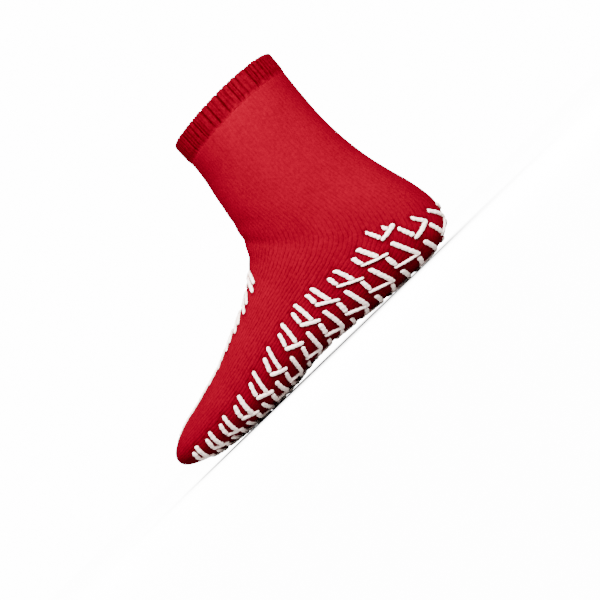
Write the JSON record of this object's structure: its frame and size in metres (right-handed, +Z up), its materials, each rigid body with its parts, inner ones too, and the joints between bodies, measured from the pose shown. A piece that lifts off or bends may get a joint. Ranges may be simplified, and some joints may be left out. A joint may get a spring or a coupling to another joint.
{
  "type": "slipper sock",
  "caption": "Adult slipper sock: a knitted tube with a rib cuff, worn over the ankle, and raised grip bars on both sole and instep.",
  "frame": {"origin": "on the floor under the middle of the sock's bounding box", "axes": "toe towards -X, +Z up out of the collar, inner side of the worn right foot towards -Y"},
  "size_m": [0.2582, 0.102, 0.1815],
  "materials": {
    "knit": "matt plain knit",
    "rib_knit": "matt rib knit",
    "grip_rubber": "matt printed rubber"
  },
  "bodies": {
    "root": {"knit_body": "knit", "ribbed_cuff": "rib_knit", "sole_grip_01": "grip_rubber", "sole_grip_02": "grip_rubber", "sole_grip_03": "grip_rubber", "sole_grip_04": "grip_rubber", "sole_grip_05": "grip_rubber", "sole_grip_06": "grip_rubber", "sole_grip_07": "grip_rubber", "sole_grip_08": "grip_rubber", "sole_grip_09": "grip_rubber", "sole_grip_10": "grip_rubber", "sole_grip_11": "grip_rubber", "sole_grip_12": "grip_rubber", "instep_grip_01": "grip_rubber", "instep_grip_02": "grip_rubber", "instep_grip_03": "grip_rubber", "instep_grip_04": "grip_rubber", "instep_grip_05": "grip_rubber", "instep_grip_06": "grip_rubber", "instep_grip_07": "grip_rubber", "instep_grip_08": "grip_rubber", "instep_grip_09": "grip_rubber", "instep_grip_10": "grip_rubber"}
  },
  "joints": []
}
